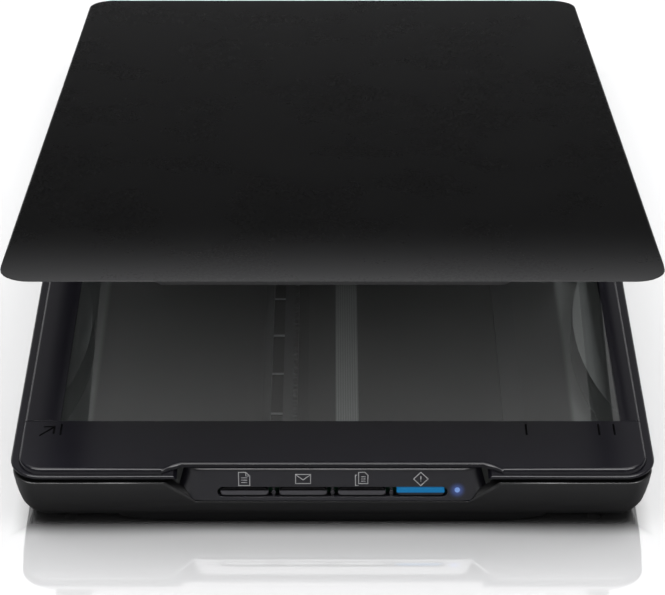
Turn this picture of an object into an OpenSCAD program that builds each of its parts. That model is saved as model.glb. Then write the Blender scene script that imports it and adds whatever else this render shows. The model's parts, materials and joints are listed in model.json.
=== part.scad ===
// Flatbed document scanner: low case with a glass bed, a sensor carriage that
// runs on a rack, four push buttons on a leaning front panel, a lid on two
// rising hinge posts, and a fold-out stand under the rear.
// Millimetres. +X right, +Y to the rear, +Z up.
// The origin is the middle of the footprint, on the surface it stands on.

/* [Case] */
// Width over the shelf edge
case_w = 249.8; // [248:0.1:252]
// Length from front edge to rear edge
case_l = 364; // [363:0.5:366]
// Height of the lower case's outer wall
lower_top_z = 25.4; // [25:0.1:25.6]
// Top of the case's tub floor
floor_z = 5; // [4.8:0.1:5]
// Height of the shelf round the platform
shelf_z = 29.5; // [29.2:0.1:29.6]
// Height of the platform round the glass
platform_z = 32; // [31.9:0.1:32.2]
// Corner radius of the case in plan
case_r = 12; // [11:0.5:14]

/* [Lid] */
// Angle that the lid stands open at rest
lid_rest_angle = 12.5; // [0:0.1:20]
// Height of the closed lid's top
lid_top_z = 39; // [38.8:0.1:39.5]
// Width of the lid
lid_w = 245.8; // [245:0.2:247]

/* [Glass] */
// Left edge of the clear window
window_x0 = -107.2; // [-108:0.1:-106]
// Right edge of the clear window
window_x1 = 113.6; // [113:0.1:114]
// Front edge of the clear window, from the case front
window_y0 = 31; // [30.5:0.1:32]
// Rear edge of the clear window, from the case front
window_y1 = 331; // [330:0.5:332]
// Thickness of the glass
glass_t = 2.5; // [2:0.1:2.5]

/* [Control panel] */
// How far the panel leans back from upright, in degrees
panel_lean = 18; // [16:1:20]
// Distance between button centres
button_pitch = 22.8; // [22:0.1:23]
// Width of one button bar
button_w = 18.6; // [16:0.2:19]
// Height of one button bar
button_h = 3.2; // [3:0.1:3.4]
// Height of the slot that the buttons stand in
slot_h = 4.2; // [4:0.1:4.4]

/* [Drive] */
// Tooth size of the rack and its pinion
rack_module = 0.8; // [0.8]
// Teeth of the pinion that runs on the rack
rack_pinion_teeth = 15; // [15]
// Tooth size of the motor's gear pair
motor_module = 0.5; // [0.5]
// Teeth of the large wheel
wheel_teeth = 48; // [48]
// Teeth of the motor's pinion
motor_teeth = 12; // [12]

/* [Hinge] */
// Distance from the middle to each hinge
hinge_x = 85; // [80:1:88]
// Rear distance of the hinge pin, from the case front
pin_y = 357.4; // [357.4]
// Height of the hinge pin
pin_z = 34; // [34]

/* [Hidden] */

true_fn = 96;       // round parts
hull_fn = 32;       // round corners inside a hull
eps = 0.01;         // overlap between pieces of one solid
half_w = case_w / 2;
gap = 0.3;          // clearance between bodies
fit = 0.05;         // radial clearance of a running fit

// Case
wall = 2;
deck_z = 27.9;      // underside of the upper case, top of the lower rim
belly_z = 0.5;
side_z = 3;         // underside beside the belly
tub_y0 = 6.5;
platform_half = 121.5;
platform_y0 = 1.7;
platform_y1 = 352;
platform_r = 9.5;
recess_y = 5.9;     // platform edge over the control panel
recess_half = 58.3;
recess_slope = 7.4;
scoop_r = 126;      // finger scoops in the underside
scoop_y = 107.5;
scoop_x = 102.3;
scoop_top = 19.6;
notch_top = 66.5;   // half width of the panel notch at its top
notch_bottom = 53;
notch_z = 14.5;
notch_tilt = 7.6;     // its bevel follows the front wall's lean

// Glass
glass_x0 = -113.5;
glass_x1 = 117.5;
glass_y0 = 26.5;
glass_y1 = 348;
glass_z = 28.9;     // seat of the glass
glass_top = glass_z + glass_t;

// Control panel, in its own leaning frame: y goes in, z goes up the face
panel_y = 3.64;
panel_z = 19;
panel_t = 2;
panel_roll = 2.2;      // radius of the rolled top edge
panel_roll_z = 26.4;   // and the height of its middle
panel_bottom = 15.5;
panel_foot_y = panel_y + (panel_bottom - panel_z) * tan(panel_lean);
panel_ledge_y = 17;    // the ledge meets the upper case here
panel_straight = 50;   // half length of the straight stretch
panel_turn_y = 15.5;   // line that the ends turn about
panel_turn = 55;       // and how far, in degrees
button_keep = 2.45;    // half height of a button's keeper
led_x = 48.4;

// Drive
rack_tip_x = -14.6;
rack_x0 = -20.5;
rack_z1 = 9.8;
rack_r = rack_module * rack_pinion_teeth / 2;
wheel_r = motor_module * wheel_teeth / 2;
motor_r = motor_module * motor_teeth / 2;
gear_x = rack_tip_x - rack_module + rack_r;
motor_x = gear_x + wheel_r + motor_r;
sensor_y = 338;     // scan line at rest
tray_half_l = 12.5;
tray_half_w = 98;
tray_z = 10.6;
tray_top = 19.6;
bar_x0 = -109.5;    // sensor bar
bar_x1 = 113;
bar_z0 = 21.8;
bar_z1 = 28.2;

// Rear
board_y = 354.5;    // main board, upright behind the carriage
usb_x = -50;
post_w = 7.4;
post_t = 4;
post_foot_w = 14;
post_foot_top = 30.3;
post_bottom = 12;
pin_r = 1.5;
knuckle_r = 2.8;

// Kickstand
stand_half = 58;
stand_y0 = 290;
stand_pin_y = 346;
stand_pin_z = 2.2;
stand_pin_r = 0.8;

// Lid
lid_y0 = 1;
lid_y1 = 361.4;
lid_cover_z = lid_top_z - 1.45;   // underside of the cover plate
lid_screw_spots = [[-100, 22], [100, 22], [-100, 342], [100, 342]];
// Height below the top, side inset and front inset of the cover's rolled edge
lid_edge = [[1.44, 0.3, 0.3], [1.25, 0, 0], [0.95, 0, 0.2], [0.8, 0, 1.2], [0.55, 0.03, 5],
            [0.36, 0.15, 10], [0.19, 0.4, 16], [0.07, 0.8, 24], [0, 1.5, 34]];

// Stacked sections of the lofted shells
corner_steps = 8;
// Lower case's outer skin: height, side inset from the shelf and front edge
skin = [[side_z, 7.5, 11], [3.6, 5.8, 9.3], [5, 4.2, 7], [7, 3.3, 5.4], [10, 2.5, 3.9],
        [15, 1.7, 2.6], [20, 1, 1.8], [24.7, 0.6, 1.3], [25.15, 0.75, 1.4],
        [lower_top_z, 1.1, 1.65]];
rear_inset = 0.8;
rear_share = 0.15;   // the rear wall falls in less than the sides
skin_r = case_r - 2;
// Deeper middle of the underside: height, half width, front and rear
belly_rings = [[belly_z, 72.5, 8.3, 347], [belly_z + 0.3, 74.5, 7.4, 348.5],
               [side_z + 0.6, 86, 6.8, 353], [floor_z + 1, 88, 6.4, 353]];
// Shelf, with fillets at its outer edge: height and inset
shelf_edge = [[deck_z, 0.5], [deck_z + 0.35, 0], [shelf_z - 0.75, 0], [shelf_z - 0.3, 0.2],
              [shelf_z, 0.8]];
// Platform round the glass, with a rolled upper edge: height and inset
platform_edge = [[shelf_z, -0.2], [platform_z - 1.3, 0], [platform_z - 0.55, 0.3],
                 [platform_z - 0.15, 0.8], [platform_z, 1.6]];

screw_spots = [[-104, 14.5], [104, 14.5], [-104, 352.5], [104, 352.5]];
foot_spots = [[-97, 34], [97, 34], [-97, 332], [97, 332]];

// Puts a part that is drawn from the case front into the shared frame
module from_front() { translate([0, -case_l / 2, 0]) children(); }

// Turns a lid part, drawn closed, about the hinge pins
module lid_pose() {
  from_front() translate([0, pin_y, pin_z]) rotate([-lid_rest_angle, 0, 0])
    translate([0, -pin_y, -pin_z]) children();
}

// Leaning frame of the control panel
module on_panel() {
  from_front() translate([0, panel_y, panel_z]) rotate([-panel_lean, 0, 0]) children();
}

// Outline with front and rear corner radii
module outline(x0, x1, y0, y1, rf, rr, f = true_fn) {
  translate([x0, y0 + rf]) square([x1 - x0, y1 - rr - y0 - rf]);
  translate([x0 + rf, y0]) square([x1 - x0 - 2 * rf, rf + eps]);
  translate([x0 + rr, y1 - rr - eps]) square([x1 - x0 - 2 * rr, rr + eps]);
  for (x = [x0 + rf, x1 - rf]) translate([x, y0 + rf]) circle(r = rf, $fn = f);
  for (x = [x0 + rr, x1 - rr]) translate([x, y1 - rr]) circle(r = rr, $fn = f);
}

// Rounded rectangle of points at height z, and a solid skinned over a stack of them
function ring(z, x, y0, y1, rf, rr) = [
    for (c = [[x - rf, y0 + rf, rf, -90], [x - rr, y1 - rr, rr, 0],
              [rr - x, y1 - rr, rr, 90], [rf - x, y0 + rf, rf, 180]],
         k = [0:corner_steps])
      let (a = c[3] + 90 * k / corner_steps)
      [c[0] + c[2] * cos(a), c[1] + c[2] * sin(a), z]
  ];
module loft(rings) {
  m = len(rings[0]);
  n = len(rings);
  polyhedron(
    points = [for (r = rings) each r],
    faces = concat([[for (i = [0:m - 1]) i]],
      [for (j = [0:n - 2], i = [0:m - 1]) let (a = j * m + i, b = j * m + (i + 1) % m)
        [a, a + m, b + m, b]],
      [[for (i = [m - 1:-1:0]) (n - 1) * m + i]]));
}

// Box between two corners, or rectangle
module block(a, b) {
  if (len(a) == 2) translate(a) square(b - a);
  else translate(a) cube(b - a);
}

// Strip of thickness t along a path of [y, z] points, as an outline
function side(p, i) = let (
    a = p[max(i - 1, 0)], b = p[min(i + 1, len(p) - 1)], d = b - a
  ) [-d[1], d[0]] / norm(d);
function ribbon(p, t) = concat(
    p, [for (i = [len(p) - 1:-1:0]) p[i] + side(p, i) * t]);
module flat_cable(p, t, x0, x1) {
  translate([x0, 0, 0]) rotate([90, 0, 90]) linear_extrude(x1 - x0) polygon(ribbon(p, t));
}

// ---- Case ----

module case_skin() {
  loft([for (s = skin)
    ring(s[0], half_w - s[1], s[2], case_l - rear_inset - rear_share * s[1], skin_r, skin_r)]);
}

module belly() {
  loft([for (b = belly_rings) ring(b[0], b[1], b[2], b[3], 6, 6)]);
}

module scoop(r, z0, z1, x_in, x_out) {
  for (s = [-1, 1]) intersection() {
    translate([s * (scoop_x + scoop_r), scoop_y, z0]) cylinder(r = r, h = z1 - z0, $fn = 180);
    block([min(s * x_in, s * x_out), 50, z0], [max(s * x_in, s * x_out), 165, z1]);
  }
}

module case_screw_spots() { for (p = screw_spots) translate([p[0], p[1], 0]) children(); }

module notch(grow) {
  polygon([[-notch_bottom - grow, notch_z - grow], [notch_bottom + grow, notch_z - grow],
           [notch_top + 2 * grow + 3, 30], [-notch_top - 2 * grow - 3, 30]]);
}

module lower_case() {
  color("#3a3a3c") from_front() difference() {
    union() {
      difference() {
        union() {
          case_skin();
          belly();
        }
        // tub, stepped where the front wall turns under
        translate([0, 0, floor_z]) linear_extrude(30) outline(-118.6, 118.6, 9, 361, 10, 10);
        translate([0, 0, 9]) linear_extrude(30) outline(-118.6, 118.6, tub_y0, 361, 10, 10);
      }
      // rim that the upper case stands on
      translate([0, 0, lower_top_z - 3]) linear_extrude(deck_z - lower_top_z + 3) difference() {
        outline(-121.9, 121.9, 3.4, 362, 9, 9);
        outline(-120.1, 120.1, 5.2, 360.8, 8, 8);
      }
      intersection() {
        case_skin();
        scoop(scoop_r, side_z, scoop_top, 100, 123);
      }
      case_screw_spots() translate([0, 0, floor_z - eps])
        cylinder(r = 3.6, h = deck_z - floor_z + eps, $fn = true_fn);
    }
    scoop(scoop_r - wall, -1, scoop_top - wall, 100, 116.5);
    case_screw_spots() {
      translate([0, 0, -1]) cylinder(r = 2.6, h = 15, $fn = true_fn);
      translate([0, 0, -1]) cylinder(r = 1.4, h = 40, $fn = true_fn);
    }
    // front notch for the control panel, with a bevelled edge
    translate([0, 12, 0]) rotate([90, 0, 0]) linear_extrude(20) notch(0);
    translate([0, 2.7, notch_z]) rotate([notch_tilt, 0, 0]) translate([0, 0, -notch_z]) hull() {
      translate([0, -0.3, 0]) rotate([90, 0, 0]) linear_extrude(eps) notch(0.9);
      translate([0, 0.6, 0]) rotate([90, 0, 0]) linear_extrude(eps) notch(0);
    }
    // groove beside the rack
    block([rack_tip_x, 20, floor_z - 1.5], [-10, stand_y0 - 10, floor_z + 1]);
    // opening and recess for the inlet
    block([usb_x - 4.3, 358, 9.6], [usb_x + 4.3, case_l + 1, 13.3]);
    block([usb_x - 6.5, 362.2, 8], [usb_x + 6.5, case_l + 1, 15]);
    // pocket for the stand
    block([-stand_half - gap, stand_y0 - 6, -1], [stand_half + gap, 348.5, 3.9]);
    for (s = [-1, 1]) translate([s * (stand_half + gap - 1), stand_pin_y, stand_pin_z])
      rotate([0, 90, 0]) translate([0, 0, s > 0 ? 0 : -4])
        cylinder(r = stand_pin_r + fit, h = 4, $fn = true_fn);
    // recess for the rating plate
    block([-30, 205, 0], [30, 240, belly_z + 0.2]);
    // seats for the feet
    for (p = foot_spots) translate([p[0], p[1], -1]) cylinder(r = 6.2, h = side_z + 1.5, $fn = true_fn);
  }
}

module rubber_feet() {
  color("#1b1b1b") from_front() for (p = foot_spots) translate([p[0], p[1], 0]) {
    cylinder(r1 = 5.4, r2 = 6, h = 0.8, $fn = true_fn);
    translate([0, 0, 0.8]) cylinder(r = 6, h = side_z - 0.3, $fn = true_fn);
  }
}

module rating_plate() {
  color("#9a9a9a") from_front() block([-29.5, 205.5, belly_z + 0.05], [29.5, 239.5, belly_z + 0.2]);
}

module shelf_plate() {
  loft([for (e = shelf_edge)
    ring(e[0], half_w - e[1], 0.5 + e[1], case_l - e[1], case_r - e[1], case_r - e[1])]);
}

module platform_plate() {
  loft([for (e = platform_edge)
    ring(e[0], platform_half - e[1], platform_y0 + e[1], platform_y1 - e[1],
         platform_r - e[1], platform_r - e[1])]);
}

// Sloped sides of the window, down to the glass
module window_bevel() {
  for (v = [[window_x0, -4], [window_x1, 2.6]])
    translate([0, window_y1, 0]) rotate([90, 0, 0]) linear_extrude(window_y1 - window_y0 + 1)
      polygon([[v[0], glass_top], [v[0] + v[1], platform_z + eps], [v[0], platform_z + 1],
               [v[0] - v[1] / 4, platform_z + 1], [v[0] - v[1] / 4, glass_top]]);
}

module hinge_well(grow, z0) {
  for (s = [-1, 1])
    block([s * hinge_x - post_foot_w / 2 - grow, pin_y - post_t / 2 - min(grow, 1.2), z0],
          [s * hinge_x + post_foot_w / 2 + grow, pin_y + post_t / 2 + min(grow, 1.2), shelf_z + 1]);
}

module upper_case() {
  color("#26252b") from_front() difference() {
    union() {
      shelf_plate();
      intersection() {
        translate([0, 0, -eps]) platform_plate();
        block([-130, window_y0 + 0.4, 20], [130, case_l, 40]);
      }
      case_screw_spots() translate([0, 0, deck_z])
        cylinder(r = 3.4, h = 2.8, $fn = true_fn);
      // wells that guide the hinge posts
      intersection() {
        hinge_well(1.5, 8.5);
        block([-120, 300, 8], [120, 361, deck_z + 1]);
      }
    }
    // opening for the sensor bar, glass seat and window
    block([-110.3, 24, 20], [113.8, 350, glass_z + eps]);
    block([glass_x0 - 0.2, glass_y0 - 0.2, glass_z], [glass_x1 + 0.2, glass_y1 + 0.2, glass_top]);
    block([window_x0, window_y0 - 5, glass_z], [window_x1, window_y1, platform_z + 1]);
    block([-108.5, 332.5, glass_top - 1], [112.5, 345.5, glass_top + 0.35]);
    window_bevel();
    // front opening behind the control panel
    translate([0, 17, 0]) rotate([90, 0, 0]) linear_extrude(20)
      polygon([[-60, 20], [60, 20], [60, deck_z], [62.5, 31], [-62.5, 31], [-60, deck_z]]);
    hinge_well(gap, 11);
    case_screw_spots() translate([0, 0, 20]) cylinder(r = 1.1, h = 10, $fn = true_fn);
  }
}

module front_bezel() {
  color("#26252b") from_front() difference() {
    intersection() {
      platform_plate();
      block([-130, 0, shelf_z + eps], [130, window_y0, 40]);
    }
    // step back over the control panel, with a rolled edge
    translate([0, 0, 20]) linear_extrude(20) recess_cut(0);
    hull() {
      translate([0, 0, platform_z - 0.9]) linear_extrude(eps) recess_cut(0);
      translate([0, 0, platform_z + 0.1]) linear_extrude(eps) recess_cut(1.2);
    }
    // hollow underside
    block([-114, 12, shelf_z - 1], [114, glass_y0 - 0.2, platform_z - 1.8]);
    block([glass_x0 - 0.2, glass_y0 - 0.21, shelf_z - 1], [glass_x1 + 0.2, window_y0 + 1, glass_top]);
    case_screw_spots() translate([0, 0, 20]) cylinder(r = 3.8, h = 10.8, $fn = true_fn);
  }
}

module recess_cut(grow) {
  polygon([[-recess_half - recess_slope - grow, platform_y0 - 3],
           [-recess_half - recess_slope - grow, platform_y0 + grow / 3],
           [-recess_half - grow / 2, recess_y + grow], [recess_half + grow / 2, recess_y + grow],
           [recess_half + recess_slope + grow, platform_y0 + grow / 3],
           [recess_half + recess_slope + grow, platform_y0 - 3]]);
}

module scanner_glass() {
  color("#8fa0a8", 0.35) from_front()
    block([glass_x0, glass_y0, glass_z], [glass_x1, glass_y1, glass_top]);
}

module calibration_strip() {
  color("white") from_front() block([-108, 333, glass_top], [112, 345, glass_top + 0.3]);
}

// ---- Control panel ----

// Upright section of the panel: leaning wall, rolled top and a ledge
module panel_section(ledge_y) {
  wall_in = panel_t / cos(panel_lean);
  roll_y = panel_y + (panel_roll_z - panel_z) * tan(panel_lean) + panel_roll / cos(panel_lean);
  roll = [roll_y, panel_roll_z];
  inward = [cos(panel_lean), -sin(panel_lean)];
  difference() {
    union() {
      translate(roll) circle(r = panel_roll, $fn = true_fn);
      polygon([[panel_foot_y, panel_bottom], roll - panel_roll * inward, roll,
               roll - (panel_roll - panel_t) * inward, [panel_foot_y + wall_in, panel_bottom]]);
      block([roll_y, panel_roll_z + panel_roll - panel_t], [ledge_y, panel_roll_z + panel_roll]);
    }
    block([roll_y + 0.4, panel_roll_z - 6], [ledge_y + 1, panel_roll_z + panel_roll - panel_t]);
  }
}

// The wall's ends turn inwards about an upright line
module panel_ends() {
  for (side = [0, 1]) mirror([side, 0, 0]) translate([panel_straight, panel_turn_y, 0])
    rotate([0, 0, -90]) rotate_extrude(angle = panel_turn, $fn = true_fn)
      mirror([1, 0]) translate([-panel_turn_y, 0]) panel_section(panel_turn_y - 1);
}

module panel_hole(x, w, h) {
  // straight slot with round ends, through the panel's wall
  translate([0, 6, 0]) rotate([90, 0, 0]) linear_extrude(10) {
    translate([x - w / 2 + h / 2, -h / 2]) square([w - h, h]);
    for (s = [-1, 1]) translate([x + s * (w - h) / 2, 0]) circle(d = h, $fn = true_fn);
  }
}

module control_panel() {
  slot_w = 3 * button_pitch + button_w + 2.2;
  color("#3c3b44") {
    difference() {
      from_front() {
        translate([-panel_straight, 0, 0]) rotate([90, 0, 90])
          linear_extrude(2 * panel_straight) panel_section(panel_ledge_y);
        panel_ends();
      }
      on_panel() panel_hole(0, slot_w, slot_h);
      on_panel() translate([led_x, 5, 0.8]) rotate([90, 0, 0]) cylinder(r = 1.1, h = 8, $fn = true_fn);
      // room for the case's front wall
      from_front() translate([0, tub_y0 + gap, 0]) rotate([90, 0, 0])
        linear_extrude(tub_y0 + 5) difference() {
          translate([-80, panel_bottom - 5]) square([160, 20]);
          notch(-0.12);
        }
    }
    // foot that hooks behind the case's front wall
    from_front() translate([-panel_straight, 0, 0]) rotate([90, 0, 90])
      linear_extrude(2 * panel_straight) {
        block([panel_foot_y + 0.9, notch_z + 0.1], [panel_foot_y + 1.9, panel_bottom + 0.3]);
        block([panel_foot_y + 0.9, notch_z + 0.1], [tub_y0 + 1.2, notch_z + 0.55]);
        block([tub_y0, 12], [tub_y0 + 1.2, notch_z + 0.3]);
      }
    on_panel() {
      // bars between the buttons, with a small nub on each
      for (i = [-1:1]) translate([i * button_pitch, 1.75, 0]) {
        cube([1.1, 0.5, slot_h + 1], center = true);
        translate([0, 0.2, -0.3]) rotate([90, 0, 0]) cylinder(r = 0.8, h = 1.7, $fn = true_fn);
      }
      // posts that hold the button board
      for (s = [-1, 1]) difference() {
        translate([s * 52, 8.6, 0]) rotate([90, 0, 0]) cylinder(r = 2, h = 7.1, $fn = true_fn);
        translate([s * 52, 9, 0]) rotate([90, 0, 0]) cylinder(r = 0.8, h = 5, $fn = true_fn);
      }
    }
  }
}

// Push bar with a rounded face, a keeper behind the panel and a stem
module button(i) {
  on_panel() translate([(i - 2.5) * button_pitch, 0, 0]) {
    translate([0, 2.6, 0]) rotate([90, 0, 0]) linear_extrude(2.2) button_face(0);
    hull() {
      translate([0, 0.4, 0]) rotate([90, 0, 0]) linear_extrude(eps) button_face(0);
      translate([0, 0.1, 0]) rotate([90, 0, 0]) linear_extrude(eps) button_face(0.3);
    }
    block([-button_w / 2, 2.4, -button_keep], [button_w / 2, 3.4, button_keep]);
    block([-2, 3.3, -1.2], [2, 5.5, 1.2]);
  }
}

module button_face(shrink) {
  h = button_h - 2 * shrink;
  w = button_w - 2 * shrink;
  translate([-w / 2 + h / 2, -h / 2]) square([w - h, h]);
  for (s = [-1, 1]) translate([s * (w - h) / 2, 0]) circle(d = h, $fn = hull_fn);
}

module button_1() { color("#4b4a52") button(1); }
module button_2() { color("#4b4a52") button(2); }
module button_3() { color("#4b4a52") button(3); }
module button_4() { color("#1e78b4") button(4); }

module button_board() {
  color("#1f5f3a") on_panel() difference() {
    block([-56, 8.6, -6], [56, 9.8, 6.5]);
    for (s = [-1, 1]) translate([s * 52, 11, 0]) rotate([90, 0, 0]) cylinder(r = 1.1, h = 4, $fn = true_fn);
  }
}

module tact_switches() {
  color("#c9c9c4") on_panel() for (i = [1:4]) translate([(i - 2.5) * button_pitch, 0, 0]) {
    block([-3, 7.1, -3], [3, 8.6, 3]);
    translate([0, 7.2, 0]) rotate([90, 0, 0]) cylinder(r = 1.7, h = 0.6, $fn = true_fn);
  }
}

module status_light() {
  color("#7fa8ff") on_panel() {
    translate([led_x, 6.8, 0.8]) rotate([90, 0, 0]) cylinder(r = 1, h = 6.9, $fn = true_fn);
    block([led_x - 1.6, 6.8, -0.8], [led_x + 1.6, 8.6, 2.4]);
  }
}

module board_screws() {
  color("silver") {
    on_panel() for (s = [-1, 1]) translate([s * 52, 9.8, 0]) {
      rotate([-90, 0, 0]) cylinder(r = 1.9, h = 1.2, $fn = true_fn);
      rotate([90, 0, 0]) cylinder(r = 0.75, h = 4.2, $fn = true_fn);
    }
    from_front() for (s = [-1, 1]) translate([s * 64, board_y, 20]) {
      rotate([90, 0, 0]) cylinder(r = 2, h = 1.2, $fn = true_fn);
      rotate([-90, 0, 0]) cylinder(r = 0.9, h = 4, $fn = true_fn);
    }
  }
}

// ---- Boards and cables ----

module main_board() {
  color("#1f5f3a") from_front() difference() {
    block([-70, board_y, 6.5], [70, board_y + 1.6, 24]);
    for (s = [-1, 1]) translate([s * 64, board_y + 3, 20]) rotate([90, 0, 0])
      cylinder(r = 1.2, h = 6, $fn = true_fn);
  }
}

module board_chips() {
  color("#222226") from_front() {
    block([-26, board_y - 1.4, 9], [-12, board_y, 22]);
    block([-40, board_y - 1.1, 12], [-32, board_y, 19]);
    block([58, board_y - 1.1, 9], [63, board_y, 14]);
    for (i = [0:5]) block([-8 + 1.4 * i, board_y - 0.6, 17], [-7.2 + 1.4 * i, board_y, 18.6]);
    for (x = [20, 26]) translate([x, board_y, 9.5]) rotate([90, 0, 0])
      cylinder(r = 2.4, h = 1.4, $fn = true_fn);
  }
}

module flex_connectors() {
  color("#e6e1d2") {
    from_front() block([0, board_y - 1.9, 10.2], [12, board_y, 13.2]);
    from_front() block([34, board_y - 1.9, 15.2], [50, board_y, 18.2]);
    on_panel() block([0, 9.8, -4], [12, 11.8, -1]);
  }
}

module usb_port() {
  color("silver") from_front() difference() {
    block([usb_x - 3.9, board_y + 1.6, 10], [usb_x + 3.9, 362, 12.9]);
    block([usb_x - 3.5, 358.5, 10.4], [usb_x + 3.5, 363, 12.5]);
  }
}

// Flat cable from the button board, along the tub floor, to the main board
module panel_flex_cable() {
  z = floor_z + 0.02;
  path = [[15.2, 14.1], [15.6, 10], [16.4, 7.2], [17.6, 5.7], [19.6, z], [346.6, z],
          [349.6, 5.7], [351.2, 7], [351.9, 9], [352.2, 10.8]];
  color("#d8d8d2") from_front() flat_cable(path, 0.3, 1.3, 10.8);
}

// Flat cable from the main board to the moving sensor board, folded at rest
module sensor_flex_cable() {
  path = [[352.2, 16.7], [351.8, 18.6], [351.3, 20.4], [350.6, 21.4], [349.4, 21.9],
          [348, 21.8], [346.8, 21.5], [345.6, 21.2]];
  color("#d8d8d2") from_front() flat_cable(path, 0.25, 35, 49);
}

// ---- Tub floor ----

// Rack tooth row along Y, teeth facing +X
module rack_outline(y0, y1) {
  pitch = PI * rack_module;
  tip = 0.34 * rack_module;
  slope = 0.78 * rack_module;
  root_x = rack_tip_x - 2.25 * rack_module;
  count = floor((y1 - y0) / pitch) - 1;
  start = sensor_y - pitch * floor((sensor_y - y0 - pitch) / pitch);
  polygon(concat([[rack_x0, y1], [rack_x0, y0], [root_x, y0]],
    [for (i = [0:count - 1], k = [0:3]) let (y = start + i * pitch)
      [[root_x, y - slope], [rack_tip_x, y - tip], [rack_tip_x, y + tip], [root_x, y + slope]][k]],
    [[root_x, y1]]));
}

module gear_rack() {
  color("#2c2c2e") from_front() translate([0, 0, floor_z])
    linear_extrude(rack_z1 - floor_z) rack_outline(22, 349.5);
}

module guide_rail() {
  color("#2c2c2e") from_front() {
    block([-29, 22, floor_z], [-25.5, 349.5, rack_z1 - 0.4]);
    block([-25.5 - eps, 22, floor_z], [rack_x0, 349.5, floor_z + 0.4]);
    for (i = [0:10]) block([-25.5 - eps, 40.2 + 26.7 * i, floor_z],
                           [rack_x0, 41.4 + 26.7 * i, floor_z + 1.1]);
  }
}

module support_rail() {
  color("#2f2f31") from_front() block([70.5, 22, floor_z], [79.5, 349.5, floor_z + 1.2]);
}

module case_screws() {
  color("silver") from_front() case_screw_spots() {
    translate([0, 0, 12]) cylinder(r = 2.4, h = 2, $fn = true_fn);
    translate([0, 0, 13.9]) cylinder(r = 1.05, h = 15.6, $fn = true_fn);
  }
}

// ---- Carriage ----

module carriage_tray() {
  y0 = sensor_y - tray_half_l;
  y1 = sensor_y + tray_half_l;
  color("#232325") from_front() {
    difference() {
      block([-tray_half_w, y0, tray_z], [tray_half_w, y1, tray_top]);
      block([-tray_half_w + 2, y0 + 1.6, tray_z + 1.2], [tray_half_w - 2, y1 - 1.6, 21]);
      // clear of the gears
      translate([gear_x, sensor_y, 5]) cylinder(r = rack_r + 1.6, h = 8, $fn = true_fn);
      translate([gear_x, sensor_y, tray_z + 0.4]) cylinder(r = wheel_r + 1, h = 4, $fn = true_fn);
      translate([motor_x, sensor_y, tray_z + 0.4]) cylinder(r = motor_r + 1, h = 4, $fn = true_fn);
    }
    // ribs and spring cups
    for (x = [-70, -40, 40, 70])
      block([x - 0.7, y0 + 1.5, tray_z + 1], [x + 0.7, y1 - 1.5, 15]);
    for (x = [-82, 82]) translate([x, sensor_y, tray_z + 1]) difference() {
      cylinder(r = 5, h = 4, $fn = true_fn);
      translate([0, 0, 0.6]) cylinder(r = 4, h = 5, $fn = true_fn);
    }
    // pillars under the gear bracket
    for (x = [-26, 24]) translate([x, sensor_y, tray_z + 1])
      cylinder(r = 2.4, h = 4, $fn = true_fn);
    // foot over the support rail
    block([71, y0 + 4, floor_z + 1.5], [79, y1 - 4, tray_z + eps]);
  }
}

module guide_shoe() {
  color("#ecebe6") from_front()
    block([-25.2, sensor_y - 9, 6.4], [-20.8, sensor_y + 9, tray_z]);
}

// Involute tooth outline, by the teeth, module and a thinning for backlash
function involute(rb, a) = rb * [cos(a) + a * PI / 180 * sin(a), sin(a) - a * PI / 180 * cos(a)];
function turn(p, a) = [p[0] * cos(a) - p[1] * sin(a), p[0] * sin(a) + p[1] * cos(a)];
function roll(r, rb) = sqrt(max(0, r * r / (rb * rb) - 1)) * 180 / PI;

module gear_outline(teeth, m, thin, phase) {
  r = teeth * m / 2;
  rb = r * cos(20);
  ra = r + m * 0.92;
  rf = r - m * 1.2;
  inv = tan(20) * 180 / PI - 20;
  half = 90 / teeth + inv - thin / r * 180 / PI;
  rolls = [for (k = [0:3]) roll(max(rb, rf) + (ra - max(rb, rf)) * k / 3, rb)];
  flank = [for (a = rolls) turn(involute(rb, a), -half)];
  points = concat([turn([rf, 0], -half)], flank);
  polygon([for (i = [0:teeth - 1], s = [0, 1], k = [0:4]) let (
      p = s == 0 ? points[k] : [points[4 - k][0], -points[4 - k][1]]
    ) turn(p, phase + i * 360 / teeth)]);
}

module drive_gear() {
  // a tooth gap of the rack pinion faces the rack tooth on the scan line
  color("#e8e4d8") from_front() translate([gear_x, sensor_y, 0]) difference() {
    union() {
      translate([0, 0, 5.6]) linear_extrude(5.6)
        gear_outline(rack_pinion_teeth, rack_module, 0.09, 180 + 180 / rack_pinion_teeth);
      translate([0, 0, 11.2]) linear_extrude(1.9)
        gear_outline(wheel_teeth, motor_module, 0.06, 0);
    }
    translate([0, 0, 5]) cylinder(r = 1 + fit, h = 9, $fn = true_fn);
  }
}

module motor_pinion() {
  color("#b5964a") from_front() translate([motor_x, sensor_y, 0]) difference() {
    translate([0, 0, 11.1]) linear_extrude(2.2)
      gear_outline(motor_teeth, motor_module, 0.06, 180 + 180 / motor_teeth);
    translate([0, 0, 11]) cylinder(r = 0.75 + fit, h = 3, $fn = true_fn);
  }
}

module gear_bracket() {
  color("silver") from_front() difference() {
    block([-29, sensor_y - 8, tray_z + 5], [27, sensor_y + 8, tray_z + 5.8]);
    translate([gear_x, sensor_y, 15]) cylinder(r = 1, h = 3, $fn = true_fn);
    translate([motor_x, sensor_y, 15]) cylinder(r = 2.6, h = 3, $fn = true_fn);
    for (x = [-26, 24]) translate([x, sensor_y, 15]) cylinder(r = 1.1, h = 3, $fn = true_fn);
  }
}

module gear_axle() {
  color("silver") from_front() translate([gear_x, sensor_y, 5.4])
    cylinder(r = 1, h = tray_z + 5.8 - 5.4, $fn = true_fn);
}

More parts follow.
